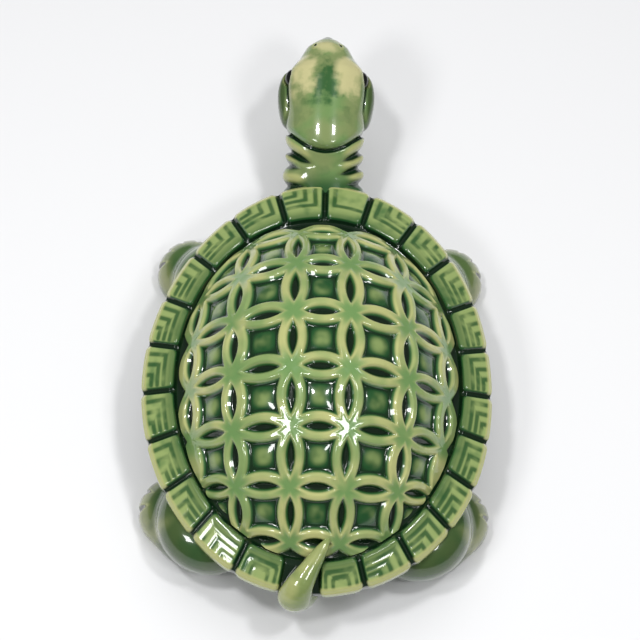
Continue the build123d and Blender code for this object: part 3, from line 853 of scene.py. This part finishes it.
def make_head(material):
    points, faces = skin_of(head_field, HEAD_LOW, HEAD_HIGH, HEAD_PITCH)
    pool, edge = glaze_depth(head_field, points, *HEAD_GLAZE_REACHES)
    across, up, along = head_place(*points.T)
    side = abs(across)
    top = step_up(up, *TOP_RISE)
    behind = HEAD_LENGTH - along
    brow = window(side, *BROW_SIDES) * top
    brow *= window(behind, *BROW_BACKS)
    brow = np.maximum(brow, 0.4 * top * (1 - step_up(behind, *SNOUT_BACKS)))
    narrow, wide = STRIPE_SIDES
    stripe = 1 - step_up(side, narrow, wide + 0.6 * np.clip(behind - 16, 0, 12))
    stripe *= window(behind, *STRIPE_BACKS) * top
    front = step_up(along, *CHEEK_START)
    bulge = step_up(skull(across, up, along), *CHEEK_SWELL) * front
    cheek = np.maximum(bulge, step_up(-up, *CHEEK_DROP) * front)
    neck_share = neck_place(points[:, 1], points[:, 2])[0]
    # Painted shade on the neck's base, where it runs under the rim
    base = 1 - step_up(neck_share, *NECK_SHADE_SHARES)
    on_neck = step_up(-hood_gap(across, along), 0, 1)
    fold, swell = np.multiply(neck_folds(points[:, 0], neck_share), on_neck)
    marks = {"pool": pool, "edge": edge, "brow": brow, "stripe": stripe, "cheek": cheek, "base": base}
    marks |= {"fold": fold, "swell": swell}
    make_piece("head_and_neck", points, faces, ["neck", "head"], material, "glaze_skin", **marks)


# Tail

TAIL_DIAMETER = 9.6
TAIL_REACH = 19.5
TAIL_RISE = 14.5
TAIL_OFFSET = 6.2
TAIL_HEADING = 32.0
TAIL_ALONG_SHARES = (1.0, 0.26, 0.0, 0.13, 0.43, 0.73, 1.0)
TAIL_UP_SHARES = (-1.0, -0.83, -0.4, 0.02, 0.2, 0.31, 0.41)
TAIL_TAPER_SHARE = 0.84
TAIL_WAIST_SHARE = 0.4
TAIL_WAIST_SHARES = (0.4, 0.85)
TAIL_TAPER_POWER = 7
TAIL_SWELL = 0.55
TAIL_FLAT_SHARE = 0.87
TAIL_COUNT = 36
TAIL_PITCH = 0.4
TAIL_MARGIN = TAIL_DIAMETER / 2 + 1


def smooth_line(points, count):
    """Points of a smooth line through given points."""
    points = np.array(points)
    padded = np.concatenate([[2 * points[0] - points[1]], points, [2 * points[-1] - points[-2]]])
    places = np.linspace(0, len(points) - 1, count)
    first = np.minimum(places.astype(int), len(points) - 2)
    t = (places - first)[:, None]
    before, start, end, after = (padded[first + shift] for shift in range(4))
    return 0.5 * (
        2 * start
        + (end - before) * t
        + (2 * before - 5 * start + 4 * end - after) * t**2
        + (3 * start - before - 3 * end + after) * t**3
    )


def tail_line():
    way = np.array([sin(radians(TAIL_HEADING)), cos(radians(TAIL_HEADING)), 0])
    rim_half_length = DOME_LENGTH / 2 + CHANNEL_WIDTH + SCUTE_END_WIDTH
    start = np.array([-TAIL_OFFSET, RIM_SHIFT - rim_half_length + 2 * TAIL_SWELL, DOME_LIFT])
    places = [
        start + way * TAIL_REACH * along + np.array([0, 0, TAIL_RISE * up])
        for along, up in zip(TAIL_ALONG_SHARES, TAIL_UP_SHARES)
    ]
    line = smooth_line(places, TAIL_COUNT)
    length = np.concatenate([[0], np.cumsum(np.linalg.norm(np.diff(line, axis=0), axis=1))])
    t = length / length[-1]
    thin = TAIL_WAIST_SHARE * step_up(t, *TAIL_WAIST_SHARES)
    thin = thin + (TAIL_TAPER_SHARE - TAIL_WAIST_SHARE) * t**TAIL_TAPER_POWER
    radius = (TAIL_DIAMETER / 2 + TAIL_SWELL) * (1 - thin)
    return line, radius


TAIL_LINE, TAIL_RADIUS = tail_line()


def tail_field(x, y, z):
    least = np.full(np.shape(x), np.inf)
    for start, end, first, last in zip(TAIL_LINE, TAIL_LINE[1:], TAIL_RADIUS, TAIL_RADIUS[1:]):
        way = end - start
        from_x, from_y, from_z = x - start[0], y - start[1], z - start[2]
        t = np.clip((from_x * way[0] + from_y * way[1] + from_z * way[2]) / (way @ way), 0, 1)
        away_x = TAIL_FLAT_SHARE * (from_x - t * way[0])
        gap = np.sqrt(away_x**2 + (from_y - t * way[1]) ** 2 + (from_z - t * way[2]) ** 2)
        least = np.minimum(least, gap - (first + (last - first) * t))
    return least


def make_tail(material):
    low = TAIL_LINE.min(axis=0) - TAIL_MARGIN
    high = TAIL_LINE.max(axis=0) + TAIL_MARGIN
    points, faces = skin_of(tail_field, low, high, TAIL_PITCH)
    make_piece("tail_curl", points, faces, ["tail"], material, "glaze_skin")


# Belly and legs

FOOT_LENGTH = 35.0
FOOT_WIDTH = 26.0
FOOT_REACH = (FOOT_LENGTH - FOOT_WIDTH) / 2
FOOT_HEIGHT = 16.0
HAUNCH_HEIGHT = 22.0
HAUNCH_LIFT = 14.0
TOE_ANGLES = (-48.0, -17.0, 14.0, 45.0)
NICK_LENGTH = 3.0
NICK_WIDTH = 2.8
NICK_SLANT = 0.8
NICK_BLEND = 0.5
HAUNCH_BLEND = 2.4
SOLE_BLEND = 1.2
LEG_BLEND = 3.5
FLOOR_BLEND = 8.0
VENT_RADIUS = 3.0
VENT_BLEND = 1.0
BODY_TOP = DOME_LIFT - RIM_THICKNESS - 0.2
BODY_PITCH = 0.65
BODY_LOW = (-BELLY_HALF_WIDTH - 25, -BELLY_HALF_LENGTH - 15, -1.3)
BODY_HIGH = (BELLY_HALF_WIDTH + 25, BELLY_HALF_LENGTH + 15, DOME_LIFT - 2)
BODY_GLAZE_REACHES = (1.0, 3.5)
FOOT_FRONT = (-4.0, 2.0)
TOE_REACHES = (FOOT_WIDTH / 2 - 7, FOOT_WIDTH / 2 - 1)
NICK_EDGE = (-0.1, 0.5)
# Distances behind the dome's middle over which the rear legs' painted shade rises
REAR_SHADE_BACKS = (15, 50)

# Foot place, heading, haunch place and haunch width of a front and a rear leg
FRONT_LEG = (BELLY_HALF_WIDTH + 2.5, BELLY_HALF_LENGTH - 6.5, 40.0)
FRONT_HAUNCH = (BELLY_HALF_WIDTH - 4, BELLY_HALF_LENGTH - 12, 32.0)
REAR_LEG = (BELLY_HALF_WIDTH + 4, 12.5 - BELLY_HALF_LENGTH, 46.0)
REAR_HAUNCH = (BELLY_HALF_WIDTH - 6, 9.5 - BELLY_HALF_LENGTH, 38.0)
LEGS = (FRONT_LEG + FRONT_HAUNCH, REAR_LEG + REAR_HAUNCH)


def toe_place(side_x, y, leg):
    """Place in a foot's own frame, with the nick nearest to it: along, across, away, nick."""
    foot_x, foot_y, heading = leg[:3]
    turn = radians(heading)
    along = (side_x - foot_x) * sin(turn) + (y - foot_y) * cos(turn)
    across = (side_x - foot_x) * cos(turn) - (y - foot_y) * sin(turn)
    away = np.hypot(along - FOOT_REACH, across)
    spin = np.degrees(np.arctan2(across, along - FOOT_REACH))
    nick = np.full(np.shape(away), FAR)
    for angle in TOE_ANGLES:
        gap = abs(np.radians(spin - angle)) * away
        nick = np.minimum(nick, gap - NICK_WIDTH / 2 * (away - FOOT_WIDTH / 2 + NICK_LENGTH) / NICK_LENGTH)
    return along, across, away, nick


def leg_field(side_x, y, z, leg):
    """Distance to one leg, with x taken positive on both sides."""
    haunch_x, haunch_y, haunch_width = leg[3:]
    along, across, away, nick = toe_place(side_x, y, leg)
    radius = FOOT_WIDTH / 2
    bar = np.clip(along, -FOOT_REACH, FOOT_REACH)
    lift = FOOT_HEIGHT - radius
    foot = np.sqrt((along - bar) ** 2 + across**2 + (z - lift) ** 2) - radius
    foot = blend_most(foot, -NICK_SLANT * nick, NICK_BLEND)
    level = np.hypot(side_x - haunch_x, y - haunch_y)
    rest = np.maximum(level - (haunch_width - HAUNCH_HEIGHT) / 2, 0)
    haunch = np.hypot(rest, z - HAUNCH_LIFT) - HAUNCH_HEIGHT / 2
    return blend_most(blend_least(foot, haunch, HAUNCH_BLEND), -z, SOLE_BLEND)


def belly_field(x, y, z):
    rise = np.clip((z - BELLY_LIFT) / (DOME_LIFT - RIM_THICKNESS - BELLY_LIFT), -0.2, 1.2)
    half_width = BELLY_HALF_WIDTH + BELLY_SIDE_DRAFT * rise
    half_length = BELLY_HALF_LENGTH + BELLY_END_DRAFT * rise
    bowl = blend_most(oval_gap(x, y, half_width, half_length), BELLY_LIFT - z, FLOOR_BLEND)
    return blend_most(bowl, VENT_RADIUS - np.hypot(x, y), VENT_BLEND)


def body_field(x, y, z):
    side_x = abs(x)
    solid = belly_field(x, y, z)
    for leg in LEGS:
        solid = blend_least(solid, leg_field(side_x, y, z, leg), LEG_BLEND)
    return np.maximum(solid, z - BODY_TOP)


def make_body(material):
    points, faces = skin_of(body_field, BODY_LOW, BODY_HIGH, BODY_PITCH)
    pool, edge = glaze_depth(body_field, points, *BODY_GLAZE_REACHES)
    side_x = abs(points[:, 0])
    toe, nick = np.zeros((2, len(points)))
    for leg in LEGS:
        along, across, away, gap = toe_place(side_x, points[:, 1], leg)
        near = step_up(along, *FOOT_FRONT) * (away < FOOT_WIDTH)
        toe = np.maximum(toe, step_up(away, *TOE_REACHES) * near)
        nick = np.maximum(nick, (1 - step_up(gap, *NICK_EDGE)) * near)
    # Painted shade: the rear legs darken towards the back
    rear = step_up(-points[:, 1], *REAR_SHADE_BACKS)
    nodes = ["plastron", "front_left_leg", "front_right_leg", "rear_left_leg", "rear_right_leg"]
    marks = {"pool": pool, "edge": edge, "toe": toe, "nick": nick, "rear": rear}
    make_piece("belly_and_legs", points, faces, nodes, material, "glaze_legs", **marks)


# Glaze


def tone(red, green, blue):
    """A screen colour from 0 to 255 as Blender's linear colour."""
    channels = []
    for channel in (red, green, blue):
        share = channel / 255
        channels.append(share / 12.92 if share <= 0.04045 else ((share + 0.055) / 1.055) ** 2.4)
    return (*channels, 1.0)


PALE = tone(176, 178, 118)
BROW = tone(196, 190, 140)
SKIN = tone(126, 141, 90)
SAGE = tone(104, 140, 82)
LIGHT = tone(142, 160, 98)
MID = tone(56, 100, 54)
STRIPE = tone(44, 88, 44)
DEEP = tone(28, 74, 36)
OLIVE = tone(60, 80, 42)
TAN = tone(134, 140, 90)
DARK = tone(12, 42, 18)
CHANNEL = tone(9, 31, 14)
BLACK_GREEN = tone(6, 18, 8)
TAIL_TONE = tone(122, 138, 82)
LEG_TONE = tone(80, 104, 56)
EYE_TONE = tone(8, 10, 8)

GLOSS = {"Roughness": 0.22, "IOR": 1.28, "Coat Weight": 1.0, "Coat Roughness": 0.03, "Coat IOR": 1.52}
RIPPLE_SIZE = 2.5
RIPPLE_DEPTH = 0.03
RIPPLE_STRENGTH = 0.6


class Glaze:
    """A glossy glaze material, with colour mixed step by step from mesh attributes and noise."""

    def __init__(self, name, base):
        self.material = bpy.data.materials.new(name)
        self.material.use_nodes = True
        self.tree = self.material.node_tree
        self.shader = self.tree.nodes["Principled BSDF"]
        for label, value in GLOSS.items():
            self.shader.inputs[label].default_value = value
        self.last = base
        self.place = self.tree.nodes.new("ShaderNodeTexCoord").outputs["Object"]

    def feed(self, socket, value):
        """Sets a socket to a number or colour, or links another node's output to it."""
        if isinstance(value, bpy.types.NodeSocket):
            self.tree.links.new(value, socket)
        else:
            socket.default_value = value

    def node(self, kind, sources, **values):
        made = self.tree.nodes.new(kind)
        for label, value in values.items():
            setattr(made, label, value)
        for label, source in sources.items():
            self.feed(made.inputs[label], source)
        return made

    def attribute(self, label):
        return self.node("ShaderNodeAttribute", {}, attribute_name=label).outputs["Fac"]

    def shape(self, source, low, high, most=1.0):
        """A smooth ramp from 0 to `most`, while a value goes from one limit to the other."""
        sources = {"Value": source, "From Min": low, "From Max": high, "To Max": most}
        ramp = self.node("ShaderNodeMapRange", sources, interpolation_type="SMOOTHSTEP")
        return ramp.outputs["Result"]

    def mark(self, label, low, high, most=1.0):
        return self.shape(self.attribute(label), low, high, most)

    def maths(self, operation, first, second):
        return self.node("ShaderNodeMath", {0: first, 1: second}, operation=operation).outputs[0]

    def cloud(self, size, detail):
        """Noise with blotches about `size` millimetres across."""
        sources = {"Vector": self.place, "Scale": 1 / (size * MM), "Detail": detail}
        return self.node("ShaderNodeTexNoise", sources).outputs["Fac"]

    def noise(self, size, low, high, detail=2.0):
        """Noise that runs from 0 to 1 between two of its levels."""
        return self.shape(self.cloud(size, detail), low, high)

    def lay(self, colour, amount, *others):
        """Mixes a colour over what is there, by the product of values from 0 to 1."""
        for other in others:
            amount = self.maths("MULTIPLY", amount, other)
        sources = {"Factor": amount, "A": self.last, "B": colour}
        self.last = self.node("ShaderNodeMix", sources, data_type="RGBA").outputs["Result"]

    def done(self):
        """Connects the colour and a slight ripple of the glaze's surface."""
        ripple = self.cloud(RIPPLE_SIZE, 1.0)
        sources = {"Strength": RIPPLE_STRENGTH, "Distance": RIPPLE_DEPTH * MM, "Height": ripple}
        bump = self.node("ShaderNodeBump", sources).outputs["Normal"]
        for label, source in (("Base Color", self.last), ("Normal", bump), ("Coat Normal", bump)):
            self.feed(self.shader.inputs[label], source)
        return self.material


def lattice_glaze():
    glaze = Glaze("glaze_lattice", DARK)
    glaze.lay(DEEP, glaze.mark("cell", 0.1, 0.6))
    # Painted highlight: a paler middle on each cell floor, where the floor swells
    glaze.lay(LIGHT, glaze.mark("cell", 0.4, 1.0), glaze.noise(9, 0.3, 0.65), 0.8)
    glaze.lay(BLACK_GREEN, glaze.mark("lens", 0.0, 0.5, 0.7))
    # Painted shade: near-black in the channel between the lattice and the rim
    glaze.lay(CHANNEL, glaze.attribute("channel"))
    glaze.lay(MID, glaze.mark("band", 0.12, 0.5))
    glaze.lay(PALE, glaze.mark("band", 0.4, 0.85))
    glaze.lay(SAGE, glaze.mark("band", 0.4, 0.85), glaze.noise(16, 0.38, 0.68), 0.75)
    glaze.lay(SAGE, glaze.attribute("node"), glaze.noise(12, 0.15, 0.5), 0.95)
    return glaze.done()


def scute_glaze():
    # The near-black base shows wherever no scute lies; in the channel beside the lattice it is painted shade
    glaze = Glaze("glaze_scutes", CHANNEL)
    glaze.lay(MID, glaze.mark("scute", 0.3, 0.95))
    glaze.lay(LIGHT, glaze.mark("scute", 0.7, 1.0), glaze.noise(8, 0.15, 0.5))
    glaze.lay(DEEP, glaze.mark("inner", 0.05, 1.0), glaze.mark("scute", 0.2, 0.8), 0.7)
    glaze.lay(DEEP, glaze.mark("key", 0.1, 0.9), glaze.noise(7, 0.2, 0.55), 0.85)
    glaze.lay(PALE, glaze.mark("lip", 0.15, 0.95), glaze.mark("scute", 0.2, 0.8), 0.92)
    return glaze.done()


def skin_glaze():
    glaze = Glaze("glaze_skin", SKIN)
    glaze.lay(SAGE, glaze.noise(12, 0.42, 0.62), 0.75)
    glaze.lay(MID, glaze.noise(7, 0.52, 0.75, detail=3.0), 0.6)
    for label, colour, size in (("stripe", STRIPE, 5), ("brow", BROW, 7)):
        cloud = glaze.noise(size, 0.3, 0.7, detail=4.0)
        blot = glaze.maths("ADD", glaze.attribute(label), glaze.maths("MULTIPLY", cloud, 0.7))
        glaze.lay(colour, glaze.shape(blot, 0.55, 1.2, 0.95))
    glaze.lay(OLIVE, glaze.attribute("cheek"), 0.95)
    # Painted shade: deep green over the neck's base, under the rim
    glaze.lay(DEEP, glaze.attribute("base"), 0.9)
    glaze.lay(PALE, glaze.mark("edge", 0.3, 0.7, 0.55))
    glaze.lay(PALE, glaze.mark("swell", 0.02, 0.35, 0.85))
    glaze.lay(DARK, glaze.mark("fold", 0.25, 1.3))
    glaze.lay(DARK, glaze.mark("pool", 0.12, 0.4))
    return glaze.done()


def tail_glaze():
    glaze = Glaze("glaze_tail", TAIL_TONE)
    glaze.lay(PALE, glaze.noise(12, 0.45, 0.7), 0.6)
    glaze.lay(MID, glaze.noise(20, 0.5, 0.75), 0.6)
    return glaze.done()


def leg_glaze():
    glaze = Glaze("glaze_legs", LEG_TONE)
    # Painted shade: olive over the rear legs
    glaze.lay(OLIVE, glaze.attribute("rear"), 0.85)
    glaze.lay(DEEP, glaze.noise(18, 0.42, 0.7), 0.55)
    glaze.lay(TAN, glaze.attribute("toe"), glaze.noise(9, 0.2, 0.6))
    glaze.lay(PALE, glaze.mark("edge", 0.25, 0.6, 0.8))
    glaze.lay(DARK, glaze.mark("pool", 0.2, 0.6, 0.95))
    glaze.lay(BLACK_GREEN, glaze.attribute("nick"))
    return glaze.done()


def eye_glaze():
    return Glaze("glaze_eye", EYE_TONE).done()


# Camera, floor and light

CAMERA_ELEVATION = 67.76
CAMERA_TURN = 2.73
CAMERA_ROLL = -4.4
CAMERA_DISTANCE = 700.0
CAMERA_FOCAL_PIXELS = 2000.0
PICTURE_PIXELS = 640.0
AXIS_PIXEL_X = 318.7
AXIS_PIXEL_Y = 383.8
SENSOR = 36.0
WORLD_TONE = (0.94, 0.97, 0.93, 1)
WORLD_POWER = 0.16
FLOOR_REACH = 30.0
FLOOR_TONE = tone(226, 226, 228)
FLOOR_ROUGHNESS = 0.75
LAMP_AWAY = 900
# Each lamp's name, the way to it from the table, its width, its length and its power
LAMPS = (
    ("left_top", (-0.31, -0.02, 0.95), 90, 100, 2.2),
    ("right_top", (0.33, -0.02, 0.94), 90, 100, 2.0),
    ("left_rear", (-0.50, -0.38, 0.78), 170, 190, 2.0),
    ("right_rear", (0.38, -0.37, 0.85), 160, 160, 1.6),
)
ROOM_POWER = 1.09
ROOM_SPREAD = 60.0
ROOM_TILT = 35.0


def add_turned(name, data, axes, place):
    """An object at a place in millimetres, turned to three axes."""
    turned = Matrix(axes).transposed().to_4x4()
    turned.translation = place * MM
    made = add_object(name, data)
    made.matrix_world = turned
    return made


def make_camera():
    """The camera found by fitting the shell's lattice to the photo."""
    rise, turn, roll = radians(CAMERA_ELEVATION), radians(CAMERA_TURN), radians(CAMERA_ROLL)
    back = Vector((-sin(turn) * cos(rise), -cos(turn) * cos(rise), sin(rise)))
    level = Vector((cos(turn), -sin(turn), 0))
    upward = back.cross(level)
    right = cos(roll) * level - sin(roll) * upward
    up = sin(roll) * level + cos(roll) * upward
    data = bpy.data.cameras.new("camera")
    data.sensor_width = SENSOR
    data.lens = CAMERA_FOCAL_PIXELS / PICTURE_PIXELS * SENSOR
    data.shift_x = (PICTURE_PIXELS / 2 - AXIS_PIXEL_X) / PICTURE_PIXELS
    data.shift_y = (AXIS_PIXEL_Y - PICTURE_PIXELS / 2) / PICTURE_PIXELS
    middle = Vector((0, DOME_MIDDLE_Y, DOME_LIFT))
    camera = add_turned("camera", data, (right, up, back), middle + back * CAMERA_DISTANCE)
    bpy.context.scene.camera = camera


def add_lamp(name, towards, width, length, power):
    """A soft oblong lamp, its length along the turtle's."""
    data = bpy.data.lights.new(name, "AREA")
    data.shape = "RECTANGLE"
    data.size = width * MM
    data.size_y = length * MM
    data.energy = power
    way = Vector(towards).normalized()
    level = Vector((0, 1, 0)).cross(way).normalized()
    add_turned(name, data, (level, way.cross(level), way), way * LAMP_AWAY)


def make_setting():
    corners = [(FLOOR_REACH * x, FLOOR_REACH * y, 0) for x, y in ((-1, -1), (1, -1), (1, 1), (-1, 1))]
    mesh = bpy.data.meshes.new("floor")
    mesh.from_pydata(corners, [], [(0, 1, 2, 3)])
    floor = add_object("floor", mesh)
    paint = bpy.data.materials.new("floor")
    paint.use_nodes = True
    shader = paint.node_tree.nodes["Principled BSDF"]
    shader.inputs["Base Color"].default_value = FLOOR_TONE
    shader.inputs["Roughness"].default_value = FLOOR_ROUGHNESS
    mesh.materials.append(paint)
    world = bpy.data.worlds.new("world")
    world.use_nodes = True
    background = world.node_tree.nodes["Background"]
    background.inputs["Color"].default_value = WORLD_TONE
    background.inputs["Strength"].default_value = WORLD_POWER
    bpy.context.scene.world = world
    bpy.context.scene.view_settings.view_transform = "Standard"
    for lamp in LAMPS:
        add_lamp(*lamp)
    data = bpy.data.lights.new("room", "SUN")
    data.energy = ROOM_POWER
    data.angle = radians(ROOM_SPREAD)
    room = add_object("room", data)
    room.rotation_euler = (radians(-ROOM_TILT), 0, 0)
    room.visible_glossy = False


make_camera()
make_setting()
make_shell_dome(lattice_glaze())
make_shell_rim(scute_glaze())
make_head(skin_glaze())
make_tail(tail_glaze())
make_body(leg_glaze())
make_eyes(eye_glaze())
